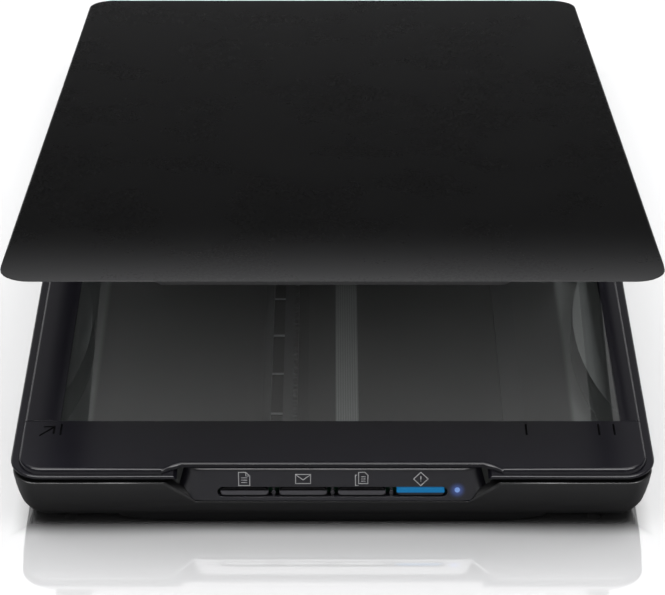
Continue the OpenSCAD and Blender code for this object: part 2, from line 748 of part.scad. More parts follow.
module drive_motor() {
  color("#8d9095") from_front() translate([motor_x, sensor_y, 0]) {
    translate([0, 0, tray_z + 5.8]) cylinder(r = 8.5, h = 3.2, $fn = true_fn);
    translate([0, 0, 11]) cylinder(r = 0.75, h = 5.5, $fn = true_fn);
  }
}

module motor_screws() {
  color("silver") from_front() for (x = [-26, 24]) translate([x, sensor_y, 0]) {
    translate([0, 0, tray_z + 5.8]) cylinder(r = 2, h = 1.2, $fn = true_fn);
    translate([0, 0, tray_z + 5]) cylinder(r = 1, h = 1, $fn = true_fn);
  }
}

// Rings stacked along each spring's height
module sensor_springs() {
  turns = 7;
  color("silver") from_front() for (x = [-82, 82]) translate([x, sensor_y, tray_z + 1.6]) {
    for (i = [0:turns - 1]) translate([0, 0, 0.4 + i * 7.8 / (turns - 1)])
      rotate_extrude($fn = true_fn) translate([3, 0]) circle(r = 0.4, $fn = 24);
  }
}

module sensor_housing() {
  y0 = sensor_y - 7;
  y1 = sensor_y + 7;
  color("#1f1f21") from_front() difference() {
    block([bar_x0, y0, bar_z0], [bar_x1, y1, bar_z1]);
    block([bar_x0 + 1, y0 + 1.5, bar_z1 - 0.8], [bar_x1 - 1, y1 - 1.5, bar_z1 + 1]);
    block([bar_x0 + 3, sensor_y - 5, bar_z0 + 1], [bar_x1 - 3, sensor_y - 1.2, bar_z1]);
    block([bar_x0 + 3, sensor_y - 0.9, bar_z0 - 1], [bar_x1 - 3, sensor_y + 1.7, bar_z1]);
  }
}

module sensor_cover_glass() {
  color("#a8c0c8", 0.35) from_front()
    block([bar_x0 + 1.2, sensor_y - 5.4, bar_z1 - 0.8], [bar_x1 - 1.2, sensor_y + 5.4, bar_z1]);
}

module light_guide() {
  color("#dfeef2", 0.6) from_front() translate([bar_x0 + 3.5, sensor_y - 3.1, bar_z0 + 2.8])
    rotate([0, 90, 0]) cylinder(r = 1.5, h = bar_x1 - bar_x0 - 7, $fn = true_fn);
}

module rod_lens_array() {
  color("#17171a") from_front()
    block([bar_x0 + 3.5, sensor_y - 0.6, bar_z0 + 0.6], [bar_x1 - 3.5, sensor_y + 1.4, bar_z0 + 4.6]);
}

module sensor_board() {
  color("#1f5f3a") from_front()
    block([bar_x0 + 2, sensor_y - 6, bar_z0 - 1], [bar_x1 - 2, sensor_y + 6.5, bar_z0]);
}

module glide_pads() {
  color("white") from_front() for (x = [bar_x0, bar_x1 - 1], y = [sensor_y - 6.8, sensor_y + 5.6])
    block([x, y, bar_z1], [x + 1, y + 1.2, bar_z1 + 0.4]);
}

// ---- Hinge and lid ----

module hinge_posts() {
  color("#202024") from_front() for (s = [-1, 1]) translate([s * hinge_x, 0, 0]) difference() {
    union() {
      block([-post_foot_w / 2, pin_y - post_t / 2, post_bottom],
            [post_foot_w / 2, pin_y + post_t / 2, post_foot_top]);
      block([-post_w / 2, pin_y - post_t / 2, post_foot_top - eps],
            [post_w / 2, pin_y + post_t / 2, pin_z]);
      translate([-post_w / 2, pin_y, pin_z]) rotate([0, 90, 0])
        cylinder(r = knuckle_r - 0.2, h = post_w, $fn = true_fn);
    }
    translate([-10, pin_y, pin_z]) rotate([0, 90, 0]) cylinder(r = pin_r, h = 20, $fn = true_fn);
  }
}

module hinge_pins() {
  color("silver") from_front() for (s = [-1, 1])
    translate([s * hinge_x - 8, pin_y, pin_z]) rotate([0, 90, 0])
      cylinder(r = pin_r, h = 16, $fn = true_fn);
}

// Knuckles each side of a post, on an arm under the lid cover
module hinge_brackets() {
  color("#2a2a2e") lid_pose() for (s = [-1, 1], k = [-6, 6])
    translate([s * hinge_x + k, 0, 0]) difference() {
      union() {
        translate([-2, pin_y, pin_z]) rotate([0, 90, 0])
          cylinder(r = knuckle_r, h = 4, $fn = true_fn);
        block([-2, 350, pin_z + 0.6], [2, pin_y, lid_cover_z]);
      }
      translate([-5, pin_y, pin_z]) rotate([0, 90, 0])
        cylinder(r = pin_r + fit, h = 10, $fn = true_fn);
    }
}

module lid_cover() {
  color("#2b2b2c") lid_pose() {
    loft([for (s = lid_edge) ring(lid_top_z - s[0], lid_w / 2 - s[1], lid_y0 + s[2],
                                  lid_y1 - s[1], 12 - s[1], 12 - s[1])]);
    // finger tab at the front
    hull() {
      block([-65, lid_y0 - 0.15, lid_top_z - 1.3], [65, lid_y0 + 6, lid_top_z - 1.1]);
      block([-62.5, lid_y0, lid_top_z - 2.5], [62.5, lid_y0 + 5, lid_top_z - 2.3]);
    }
  }
}

module lid_inner_panel() {
  color("#2a2a2e") lid_pose() difference() {
    hull() {
      translate([0, 0, lid_cover_z - eps]) linear_extrude(eps)
        outline(-117, 117, 9, 353, 10, 6, hull_fn);
      translate([0, 0, 33.1]) linear_extrude(eps)
        outline(-114, 114, 12.5, 351.5, 8, 5, hull_fn);
    }
    block([-112, 15, 34.6], [112, 350, 40]);
    for (s = [-1, 1], k = [-6, 6])
      block([s * hinge_x + k - 2.3, 349.5, 30], [s * hinge_x + k + 2.3, 360, 40]);
    for (p = lid_screw_spots) translate([p[0], p[1], 30]) cylinder(r = 1.2, h = 9, $fn = true_fn);
  }
}

module lid_screws() {
  color("#3a3a3c") lid_pose() for (p = lid_screw_spots) translate([p[0], p[1], 0]) {
    translate([0, 0, 32.75]) cylinder(r = 1.9, h = 0.35, $fn = true_fn);
    translate([0, 0, 33.05]) cylinder(r = 1, h = lid_cover_z - 33.05, $fn = true_fn);
  }
}

module mat_foam() {
  color("#55565a") lid_pose()
    block([window_x0 + 1.2, window_y0 + 1, 32.1], [window_x1 - 1.2, window_y1 - 1, 33.1]);
}

module mat_sheet() {
  color("white") lid_pose()
    block([window_x0 + 0.8, window_y0 + 0.6, 31.75], [window_x1 - 0.8, window_y1 - 0.6, 32.1]);
}

module lid_bumpers() {
  color("#111112") lid_pose() for (x = [-109.5, 109.5], y = [22, 342])
    translate([x, y, 32.25]) cylinder(r = 2, h = 0.85, $fn = true_fn);
}

// ---- Stand ----

module kickstand() {
  color("#2a2a2c") from_front() {
    difference() {
      union() {
        block([-stand_half, stand_y0, 0.9], [stand_half, stand_pin_y, 3.5]);
        translate([-stand_half, stand_pin_y, stand_pin_z]) rotate([0, 90, 0])
          cylinder(r = 1.3, h = 2 * stand_half, $fn = true_fn);
      }
      block([-stand_half + 14, stand_y0 + 13, 0], [stand_half - 14, stand_pin_y + 3, 5]);
      for (s = [-1, 1]) translate([s * stand_half, stand_pin_y, stand_pin_z]) rotate([0, 90, 0])
        cylinder(r = stand_pin_r, h = 24, center = true, $fn = true_fn);
    }
  }
}

module kickstand_pins() {
  color("silver") from_front() for (s = [-1, 1])
    translate([s * (stand_half - 4), stand_pin_y, stand_pin_z]) rotate([0, 90, 0])
      cylinder(r = stand_pin_r, h = 14, center = true, $fn = true_fn);
}

lower_case();
upper_case();
front_bezel();
scanner_glass();
calibration_strip();
control_panel();
button_1();
button_2();
button_3();
button_4();
button_board();
tact_switches();
status_light();
main_board();
board_chips();
flex_connectors();
usb_port();
panel_flex_cable();
sensor_flex_cable();
gear_rack();
guide_rail();
support_rail();
case_screws();
board_screws();
rubber_feet();
rating_plate();
carriage_tray();
guide_shoe();
gear_bracket();
gear_axle();
drive_motor();
motor_screws();
sensor_springs();
drive_gear();
motor_pinion();
sensor_housing();
sensor_cover_glass();
light_guide();
rod_lens_array();
sensor_board();
glide_pads();
hinge_posts();
hinge_pins();
lid_cover();
lid_inner_panel();
hinge_brackets();
mat_foam();
mat_sheet();
lid_bumpers();
lid_screws();
kickstand();
kickstand_pins();
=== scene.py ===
import json
import math

import bmesh
import bpy
import numpy as np
from mathutils import Matrix, Vector


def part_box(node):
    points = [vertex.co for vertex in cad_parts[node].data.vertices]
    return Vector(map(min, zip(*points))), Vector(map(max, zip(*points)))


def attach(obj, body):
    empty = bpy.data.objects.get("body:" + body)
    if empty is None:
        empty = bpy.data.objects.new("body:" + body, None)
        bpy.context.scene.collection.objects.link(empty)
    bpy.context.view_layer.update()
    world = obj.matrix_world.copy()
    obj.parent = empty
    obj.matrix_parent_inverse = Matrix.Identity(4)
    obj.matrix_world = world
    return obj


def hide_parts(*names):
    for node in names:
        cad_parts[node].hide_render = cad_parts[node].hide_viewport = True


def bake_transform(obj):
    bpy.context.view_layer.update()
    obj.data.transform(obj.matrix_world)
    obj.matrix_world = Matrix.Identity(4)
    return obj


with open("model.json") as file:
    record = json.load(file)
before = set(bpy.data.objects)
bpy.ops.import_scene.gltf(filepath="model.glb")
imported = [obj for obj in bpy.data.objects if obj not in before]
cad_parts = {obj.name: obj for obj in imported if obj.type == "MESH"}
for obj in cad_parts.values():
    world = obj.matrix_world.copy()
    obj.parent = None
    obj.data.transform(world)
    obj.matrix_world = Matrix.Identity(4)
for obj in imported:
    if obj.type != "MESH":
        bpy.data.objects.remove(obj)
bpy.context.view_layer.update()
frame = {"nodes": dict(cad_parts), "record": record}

nodes = frame["nodes"]
MM = 0.001
HALF_LENGTH = 182 * MM

# Fitted to the photo's outline, with the scanner's size taken as known
CAMERA_LENS = 122.3
CAMERA_BACK = 0.659
CAMERA_UP = 0.598
CAMERA_DOWN = 36.25


# ---- Camera, floor and light ----

def make_camera():
    """The photo's view: in front of the case, looking down at it."""
    data = bpy.data.cameras.new("camera")
    data.sensor_width = 36
    data.lens = CAMERA_LENS
    data.clip_start, data.clip_end = 0.02, 40
    cam = bpy.data.objects.new("camera", data)
    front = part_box("upper_case")[0].y
    cam.location = (0, front - CAMERA_BACK, CAMERA_UP)
    cam.rotation_euler = (math.radians(90 - CAMERA_DOWN), 0, 0)
    bpy.context.scene.collection.objects.link(cam)
    bpy.context.scene.camera = cam


def new_material(name):
    m = bpy.data.materials.new(name)
    m.use_nodes = True
    m.node_tree.nodes.clear()
    return m, m.node_tree


class Graph:
    """Small helper that adds nodes to a tree and links sockets by name."""

    def __init__(self, tree):
        self.tree = tree

    def add(self, kind, settings=None, **inputs):
        n = self.tree.nodes.new(kind)
        for k, v in (settings or {}).items():
            setattr(n, k, v)
        for k, v in inputs.items():
            self.put(n, k.replace("_", " "), v)
        return n

    def put(self, n, name, value):
        socket = n.inputs[int(name)] if name.isdigit() else n.inputs[name]
        if isinstance(value, bpy.types.NodeSocket):
            self.tree.links.new(value, socket)
        elif isinstance(value, (tuple, list)) and len(value) == 3 and socket.type == "RGBA":
            socket.default_value = (*value, 1)
        else:
            socket.default_value = value

    def math(self, op, a, b=0.0):
        n = self.tree.nodes.new("ShaderNodeMath")
        n.operation = op
        self.put(n, "0", a)
        self.put(n, "1", b)
        return n.outputs[0]

    def ramp(self, value, low, high, to_low=0.0, to_high=1.0, smooth=True):
        n = self.tree.nodes.new("ShaderNodeMapRange")
        n.interpolation_type = "SMOOTHSTEP" if smooth else "LINEAR"
        for name, v in (("Value", value), ("From Min", low), ("From Max", high),
                        ("To Min", to_low), ("To Max", to_high)):
            self.put(n, name, v)
        return n.outputs[0]

    def mix(self, factor, a, b):
        n = self.tree.nodes.new("ShaderNodeMix")
        n.data_type = "RGBA"
        self.put(n, "0", factor)
        self.put(n, "6", a)
        self.put(n, "7", b)
        return n.outputs[2]

    def noise(self, coords, scale, detail=3.0, roughness=0.5):
        return self.add("ShaderNodeTexNoise", Vector=coords, Scale=scale, Detail=detail,
                        Roughness=roughness).outputs[0]

    def place(self, stretch=(1, 1, 1)):
        """Coordinates in metres in the shared frame, stretched for directional textures."""
        coords = self.add("ShaderNodeTexCoord").outputs["Object"]
        if stretch == (1, 1, 1):
            return coords
        return self.add("ShaderNodeMapping", Vector=coords, Scale=stretch).outputs[0]

    def axes(self):
        """x, y and z in metres in the shared frame."""
        return tuple(self.add("ShaderNodeSeparateXYZ", Vector=self.place()).outputs)

    def mix_shader(self, factor, a, b):
        n = self.tree.nodes.new("ShaderNodeMixShader")
        self.put(n, "0", factor)
        self.put(n, "1", a)
        self.put(n, "2", b)
        return n.outputs[0]

    def surface(self, shader):
        out = self.tree.nodes.new("ShaderNodeOutputMaterial")
        self.tree.links.new(shader, out.inputs["Surface"])


def make_stage():
    """A white floor with a faint mirror image close round the case.

    Tones are set by distance from the case, to match the photo: a dark line where it stands, a
    mirror that fades out, and plain white beyond. Rays that don't come from the camera see a
    darker floor, which keeps the case's sides from looking pale.
    """
    size = 8.0
    mesh = bpy.data.meshes.new("floor")
    mesh.from_pydata([(-size, -size, 0), (size, -size, 0), (size, size, 0), (-size, size, 0)],
                     [], [(0, 1, 2, 3)])
    floor = bpy.data.objects.new("floor", mesh)
    bpy.context.scene.collection.objects.link(floor)
    m, tree = new_material("floor_white")
    g = Graph(tree)
    path = g.add("ShaderNodeLightPath")
    x, y, _ = g.axes()
    lo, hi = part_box("upper_case")
    away = g.math("MAXIMUM", g.math("SUBTRACT", g.math("ABSOLUTE", x), hi.x),
                  g.math("SUBTRACT", g.math("ABSOLUTE", y), -lo.y))
    # painted contact shadow: the floor colour is darkened close round the case, the dark line where
    # it stands
    painted_contact_shadow = g.ramp(away, -0.009, 0.002, 0.12, 1.0)
    seen = g.add("ShaderNodeBsdfDiffuse")
    g.put(seen, "Color", g.mix(painted_contact_shadow, (0, 0, 0), (0.82, 0.82, 0.83)))
    mirror = g.add("ShaderNodeBsdfGlossy", Color=(1, 1, 1), Roughness=0.0)
    share = g.ramp(away, 0.100, 0.0, 0.0, 0.42, smooth=False)
    near = g.mix_shader(share, seen.outputs[0], mirror.outputs[0])
    # far off, the floor is as white as the background
    reach = g.add("ShaderNodeVectorMath", {"operation": "LENGTH"})
    g.put(reach, "0", g.place())
    shown = g.mix_shader(g.ramp(reach.outputs["Value"], 0.35, 0.9), near,
                         g.add("ShaderNodeEmission", Color=(1, 1, 1)).outputs[0])
    unseen = g.add("ShaderNodeBsdfDiffuse")
    # painted shade: for rays that don't come from the camera the floor is also darkened close round
    # the case
    g.put(unseen, "Color", g.mix(g.ramp(away, -0.005, 0.060, 0.15, 1.0, smooth=False),
                                 (0, 0, 0), (0.62, 0.62, 0.63)))
    g.surface(g.mix_shader(path.outputs["Is Camera Ray"], unseen.outputs[0], shown))
    mesh.materials.append(m)


def make_world():
    """White to the camera and through the glass, and for every other ray a soft dome,
    dark at the horizon, so that it sets what the glossy black plastic mirrors."""
    world = bpy.data.worlds.new("studio")
    bpy.context.scene.world = world
    world.use_nodes = True
    tree = world.node_tree
    tree.nodes.clear()
    g = Graph(tree)
    up = g.add("ShaderNodeSeparateXYZ", Vector=g.add("ShaderNodeTexCoord").outputs["Generated"])
    behind = g.ramp(up.outputs[2], 0.20, 0.62, 0.012, 0.55)
    before = g.ramp(up.outputs[2], 0.35, 0.95, 0.10, 0.70)
    front = g.ramp(up.outputs[1], 0.15, -0.35)
    level = g.math("ADD", g.math("MULTIPLY", before, front),
                   g.math("MULTIPLY", behind, g.math("SUBTRACT", 1.0, front)))
    path = g.add("ShaderNodeLightPath")
    plain = g.math("MAXIMUM", path.outputs["Is Camera Ray"], path.outputs["Is Singular Ray"])
    strength = g.math("ADD", g.math("MULTIPLY", level, g.math("SUBTRACT", 1.0, plain)), plain)
    back = g.add("ShaderNodeBackground", Color=(1, 1, 1), Strength=strength)
    out = g.add("ShaderNodeOutputWorld")
    tree.links.new(back.outputs[0], out.inputs["Surface"])


def area_light(name, place, aim, size, power, colour=(1, 1, 1)):
    data = bpy.data.lights.new(name, "AREA")
    data.shape = "RECTANGLE"
    data.size, data.size_y = size
    data.energy = power
    data.color = colour
    o = bpy.data.objects.new(name, data)
    o.location = place
    o.rotation_mode = "QUATERNION"
    o.rotation_quaternion = (Vector(place) - Vector(aim)).to_track_quat("Z", "Y")
    o.visible_camera = False
    bpy.context.scene.collection.objects.link(o)
    return o


def make_lights():
    area_light("top_softbox", (0, -0.15, 1.5), (0, 0, 0), (1.9, 1.1), 30)
    area_light("front_softbox", (0, -1.6, 0.9), (0, 0, 0.03), (1.6, 0.5), 1.2)
    # strips that light glossy reflections only: they draw the lines along rolled edges
    for name, place, size, power in (
            ("edge_strip", (0, -0.95, 1.25), (2.6, 0.5), 66),
            ("left_strip", (-1.35, 1.35, 0.50), (0.9, 0.5), 3.4),
            ("right_strip", (1.35, 1.35, 0.50), (0.9, 0.5), 3.4)):
        strip = area_light(name, place, (0, -0.15, 0.03), size, power)
        strip.visible_diffuse = False


# ---- Materials ----

CASE_BLACK = (0.0075, 0.0070, 0.0105)
# where the tub's hollow ends, and where its side walls begin to be painted paler, a painted light
# where little light reaches them
TUB_HALF_WIDTH = 119 * MM
TUB_HALF_LENGTH = 175 * MM
WALL_START = 98 * MM
WALL_LIGHT_GAIN = 10
# how far back the lid's front edge is painted paler, a painted reflection, and its colour
PAINTED_SHEEN_DEPTH = 60 * MM
PAINTED_SHEEN_COLOUR = (0.038, 0.038, 0.039)
# height of the middle of the push bars, and of the status light
BAR_HEIGHT = 19.0 * MM
LIGHT_HEIGHT = 19.8 * MM


def bumped(g, coords, scale, depth, normal=None, detail=2.0):
    """A bump of that depth in metres at that many grains a metre."""
    n = g.add("ShaderNodeBump", Strength=1.0, Distance=depth,
              Height=g.noise(coords, scale, detail))
    if normal is not None:
        g.put(n, "Normal", normal)
    return n.outputs[0]


def worn_edges(g, radius):
    """(rounded normal, 0 to 1 where an edge is near)"""
    round_normal = g.add("ShaderNodeBevel", {"samples": 4}, Radius=radius).outputs[0]
    true = g.add("ShaderNodeNewGeometry").outputs["Normal"]
    dot = g.add("ShaderNodeVectorMath", {"operation": "DOT_PRODUCT"})
    g.put(dot, "0", round_normal)
    g.put(dot, "1", true)
    return round_normal, g.ramp(dot.outputs["Value"], 0.995, 0.86)


def plastic(name, colour, rough=0.4, grain=0.00001, grain_scale=2600, spec=0.5, edge=0.0002,
            tint=0.10, wear=0.25, stretch=(1, 1, 1), sss=0.0, halo=None, painted_tub_light=None, painted_sheen=False):
    """Moulded plastic: spark-eroded grain, slow colour and gloss variation, paler worn edges."""
    m, tree = new_material(name)
    g = Graph(tree)
    coords = g.place(stretch)
    slow = g.noise(coords, 22, 4, 0.6)
    fine = g.noise(coords, grain_scale * 0.35, 3)
    dark = tuple(c * (1 - tint) for c in colour)
    light = tuple(min(1, c * (1 + tint)) for c in colour)
    base = g.mix(g.ramp(slow, 0.3, 0.7), dark, light)
    base = g.mix(g.ramp(fine, 0.35, 0.75, 0.0, 0.25), base, tuple(c * 0.85 for c in colour))
    x, y, z = g.axes()
    if painted_tub_light:
        # painted light: paler inside the tub, and more so at its side walls, where little light
        # reaches, to match what shows through the glass
        deep = g.math("MAXIMUM", g.math("SUBTRACT", g.math("ABSOLUTE", x), TUB_HALF_WIDTH),
                      g.math("SUBTRACT", g.math("ABSOLUTE", y), TUB_HALF_LENGTH))
        inside = g.math("MULTIPLY", g.ramp(deep, 0.4 * MM, -0.4 * MM),
                        g.ramp(z, 3.5 * MM, 4.5 * MM))
        wall = g.ramp(g.math("ABSOLUTE", x), WALL_START, WALL_START + 3 * MM)
        paler = g.mix(wall, painted_tub_light, tuple(c * WALL_LIGHT_GAIN for c in painted_tub_light))
        base = g.mix(inside, base, paler)
    if painted_sheen:
        # painted reflection: paler towards the lid's front edge, to match the soft reflection seen
        # there
        edge_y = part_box("lid_cover")[0].y
        near = g.math("POWER", g.ramp(y, edge_y + PAINTED_SHEEN_DEPTH, edge_y, smooth=False), 2.6)
        base = g.mix(near, base, PAINTED_SHEEN_COLOUR)
    normal, mask = worn_edges(g, edge)
    worn = tuple(min(1, c * (1 + 1.2 * wear) + 0.006 * wear) for c in colour)
    patchy = g.math("MULTIPLY", mask, g.ramp(slow, 0.35, 0.65, 0.3, 1.0))
    base = g.mix(patchy, base, worn)
    roughness = g.math("ADD", g.ramp(slow, 0.3, 0.7, rough - 0.012, rough + 0.012),
                       g.ramp(fine, 0.3, 0.7, -0.006, 0.006))
    b = g.add("ShaderNodeBsdfPrincipled")
    g.put(b, "Base Color", base)
    g.put(b, "Roughness", roughness)
    g.put(b, "Specular IOR Level", spec)
    g.put(b, "Normal", bumped(g, coords, grain_scale, grain, normal))
    if halo:
        # blue light that spills round the status light, painted as a faint glow
        away = g.add("ShaderNodeVectorMath", {"operation": "DISTANCE"})
        g.put(away, "0", g.place())
        g.put(away, "1", halo)
        spill = g.ramp(away.outputs["Value"], 0.0042, 0.0008)
        g.put(b, "Emission Color", (0.16, 0.30, 1.0, 1))
        g.put(b, "Emission Strength", g.math("MULTIPLY", g.math("POWER", spill, 1.8), 0.20))
    if sss:
        g.put(b, "Subsurface Weight", sss)
        g.put(b, "Subsurface Radius", (0.004, 0.004, 0.004))
        g.put(b, "Subsurface Scale", 0.3)
    g.surface(b.outputs[0])
    return m


def metal(name, colour, rough=0.28, stretch=(1, 14, 1), scale=260):
    """Plated steel or brass with brushed streaks and dull patches."""
    m, tree = new_material(name)
    g = Graph(tree)
    streaks = g.noise(g.place(stretch), scale, 4, 0.6)
    slow = g.noise(g.place(), 60, 4, 0.6)
    normal, mask = worn_edges(g, 0.00012)
    base = g.mix(g.ramp(slow, 0.35, 0.7), colour, tuple(c * 0.72 for c in colour))
    base = g.mix(mask, base, tuple(min(1, c * 1.25) for c in colour))
    b = g.add("ShaderNodeBsdfPrincipled")
    g.put(b, "Base Color", base)
    g.put(b, "Metallic", 1.0)
    g.put(b, "Roughness", g.ramp(streaks, 0.3, 0.7, rough - 0.08, rough + 0.12))
    g.put(b, "Normal", bumped(g, g.place(stretch), scale * 3, 0.000004, normal))
    g.surface(b.outputs[0])
    return m


def glass(name, tint, shine=1.0):
    """Clear sheet: passes light straight through and mirrors by Fresnel on its outer face."""
    m, tree = new_material(name)
    g = Graph(tree)
    clear = g.add("ShaderNodeBsdfTransparent")
    smear = g.noise(g.place(), 30, 5, 0.7)
    g.put(clear, "Color", g.mix(g.ramp(smear, 0.4, 0.75, 0.0, 0.25), tint,
                                tuple(c * 0.96 for c in tint)))
    gloss = g.add("ShaderNodeBsdfGlossy", Color=(1, 1, 1))
    g.put(gloss, "Roughness", g.ramp(smear, 0.35, 0.75, 0.02, 0.05))
    mirror = g.math("MULTIPLY", g.add("ShaderNodeFresnel", IOR=1.5).outputs[0], shine)
    outer = g.math("SUBTRACT", 1.0, g.add("ShaderNodeNewGeometry").outputs["Backfacing"])
    g.surface(g.mix_shader(g.math("MULTIPLY", mirror, outer), clear.outputs[0],
                           gloss.outputs[0]))
    return m


def circuit_board(name):
    """Green solder mask over copper tracks, with rows of tinned pads."""
    m, tree = new_material(name)
    g = Graph(tree)
    coords = g.place()
    cells = g.add("ShaderNodeTexVoronoi", {"feature": "DISTANCE_TO_EDGE", "distance": "MANHATTAN"},
                  Vector=coords, Scale=420).outputs[0]
    track = g.ramp(cells, 0.10, 0.16)
    base = g.mix(track, (0.020, 0.13, 0.060), (0.008, 0.065, 0.030))
    dots = g.add("ShaderNodeTexVoronoi", Vector=coords, Scale=520).outputs["Distance"]
    pad = g.ramp(dots, 0.16, 0.12)
    base = g.mix(pad, base, (0.50, 0.48, 0.42))
    b = g.add("ShaderNodeBsdfPrincipled")
    g.put(b, "Base Color", base)
    g.put(b, "Metallic", g.math("MULTIPLY", pad, 0.9))
    g.put(b, "Roughness", g.ramp(pad, 0, 1, 0.30, 0.38))
    g.put(b, "Normal", g.add("ShaderNodeBump", Strength=1.0, Distance=0.00004,
                             Height=track).outputs[0])
    g.surface(b.outputs[0])
    return m


def flat_cable(name, pitch=1.0):
    """White film over a row of tinned conductors, which run along Y."""
    m, tree = new_material(name)
    g = Graph(tree)
    x, y, _ = g.axes()
    phase = g.math("FRACT", g.math("MULTIPLY", x, 1000 / pitch))
    wire = g.ramp(g.math("ABSOLUTE", g.math("SUBTRACT", phase, 0.5)), 0.33, 0.22)
    slow = g.noise(g.place((1, 0.15, 1)), 60, 4)
    base = g.mix(wire, (0.36, 0.36, 0.36), (0.21, 0.21, 0.215))
    base = g.mix(g.ramp(slow, 0.35, 0.7, 0.0, 0.4), base, (0.26, 0.26, 0.255))
    # painted darker towards the hinge, to match the photo's shade there
    base = g.mix(g.ramp(y, 0.02, -0.14, 0.30, 1.0, smooth=False), (0, 0, 0), base)
    b = g.add("ShaderNodeBsdfPrincipled")
    g.put(b, "Base Color", base)
    g.put(b, "Roughness", g.ramp(slow, 0.3, 0.7, 0.32, 0.48))
    g.put(b, "Normal", g.add("ShaderNodeBump", Strength=1.0, Distance=0.00005,
                             Height=wire).outputs[0])
    g.surface(b.outputs[0])
    return m


def glowing(name, colour, power, rough=0.25, base=None):
    """Tinted light pipe that glows evenly, with fine prismatic ribs."""
    m, tree = new_material(name)
    g = Graph(tree)
    coords = g.place()
    fine = g.noise(coords, 700, 3)
    b = g.add("ShaderNodeBsdfPrincipled")
    g.put(b, "Base Color", g.mix(fine, base or colour, tuple(c * 0.7 for c in base or colour)))
    g.put(b, "Roughness", g.ramp(fine, 0.3, 0.7, rough - 0.05, rough + 0.05))
    g.put(b, "Emission Color", (*colour, 1))
    g.put(b, "Emission Strength", power)
    g.put(b, "Normal", bumped(g, coords, 1500, 0.00001))
    g.surface(b.outputs[0])
    return m


def button_bar(name, upper, lower, split, glow=None):
    """Push bar, painted one colour above the split and another below, as the photo shows it.
    The split is its height over the bar's middle in millimetres."""
    m, tree = new_material(name)
    g = Graph(tree)
    coords = g.place()
    fine = g.noise(coords, 900, 3)
    z = g.axes()[2]
    middle = BAR_HEIGHT + split * MM
    high = g.ramp(z, middle - 0.25 * MM, middle + 0.25 * MM)
    # painted shade: the bar is darkened to a tenth of its lower colour at its foot, where the
    # slot's shade falls
    painted_slot_shade = g.ramp(z, BAR_HEIGHT - 1.35 * MM, BAR_HEIGHT - 1.0 * MM)
    base = g.mix(high, g.mix(painted_slot_shade, tuple(c * 0.1 for c in lower), lower), upper)
    base = g.mix(g.ramp(fine, 0.3, 0.7, 0.0, 0.12), base, tuple(c * 0.7 for c in lower))
    b = g.add("ShaderNodeBsdfPrincipled")
    g.put(b, "Base Color", base)
    g.put(b, "Roughness", g.ramp(fine, 0.3, 0.7, 0.34, 0.40))
    g.put(b, "Specular IOR Level", g.ramp(high, 0, 1, 0.30, 0.02))
    g.put(b, "Normal", bumped(g, coords, 2400, 0.000004))
    if glow:
        g.put(b, "Emission Color", (*glow, 1))
        g.put(b, "Emission Strength", g.math("MULTIPLY", high, g.ramp(fine, 0.3, 0.7, 0.9, 1.0)))
    g.surface(b.outputs[0])
    return m


def foam_and_sheet(name):
    """Matt white film with a faint emboss and the pin holes of the foam under it."""
    m, tree = new_material(name)
    g = Graph(tree)
    coords = g.place()
    cells = g.add("ShaderNodeTexVoronoi", Vector=coords, Scale=1100).outputs["Distance"]
    slow = g.noise(coords, 25, 5, 0.65)
    base = g.mix(g.ramp(slow, 0.3, 0.75), (0.42, 0.42, 0.415), (0.37, 0.37, 0.366))
    base = g.mix(g.ramp(cells, 0.0, 0.18, 0.04, 0.0), base, (0.30, 0.30, 0.30))
    b = g.add("ShaderNodeBsdfPrincipled")
    g.put(b, "Base Color", base)
    # a painted glow towards the front stands in for daylight under the lid: the glass mirrors
    # it as in the photo, and it stays as a pale band when the lid is open
    depth = g.ramp(g.axes()[1], 0.010, -0.074, smooth=False)
    g.put(b, "Emission Color", (1, 1, 0.99, 1))
    g.put(b, "Emission Strength", g.math("MULTIPLY", g.math("POWER", depth, 1.7), 0.32))
    g.put(b, "Roughness", g.ramp(slow, 0.3, 0.7, 0.62, 0.74))
    g.put(b, "Sheen Weight", 0.15)
    g.put(b, "Normal", g.add("ShaderNodeBump", Strength=0.2, Distance=0.00001,
                             Height=cells).outputs[0])
    g.surface(b.outputs[0])
    return m


def foam(name):
    """Grey open-cell foam."""
    m, tree = new_material(name)
    g = Graph(tree)
    cells = g.add("ShaderNodeTexVoronoi", Vector=g.place(), Scale=2300).outputs["Distance"]
    base = g.mix(g.ramp(cells, 0.1, 0.6), (0.035, 0.036, 0.040), (0.13, 0.13, 0.135))
    b = g.add("ShaderNodeBsdfPrincipled")
    g.put(b, "Base Color", base)
    g.put(b, "Roughness", g.ramp(cells, 0.1, 0.6, 0.95, 0.8))
    g.put(b, "Normal", g.add("ShaderNodeBump", Strength=1.0, Distance=0.0002,
                             Height=cells).outputs[0])
    g.surface(b.outputs[0])
    return m


def rail_plastic(name):
    """Black guide strip whose low cross ribs are painted pale, as they show in the photo."""
    m, tree = new_material(name)
    g = Graph(tree)
    coords = g.place()
    fine = g.noise(coords, 800, 3)
    x, _, z = g.axes()
    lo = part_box("guide_rail")[0]
    low_part = g.ramp(x, lo.x + 3.4 * MM, lo.x + 3.6 * MM)
    rib = g.math("MULTIPLY", low_part, g.ramp(z, lo.z + 0.8 * MM, lo.z + 1.0 * MM))
    base = g.mix(low_part, (0.030, 0.030, 0.031), (0.002, 0.002, 0.002))
    base = g.mix(rib, base, (0.30, 0.30, 0.31))
    base = g.mix(g.ramp(fine, 0.35, 0.75, 0.0, 0.25), base, (0.012, 0.012, 0.012))
    b = g.add("ShaderNodeBsdfPrincipled")
    g.put(b, "Base Color", base)
    g.put(b, "Roughness", g.ramp(fine, 0.3, 0.7, 0.42, 0.50))
    g.put(b, "Specular IOR Level", 0.2)
    g.put(b, "Normal", bumped(g, coords, 1700, 0.000006))
    g.surface(b.outputs[0])
    return m


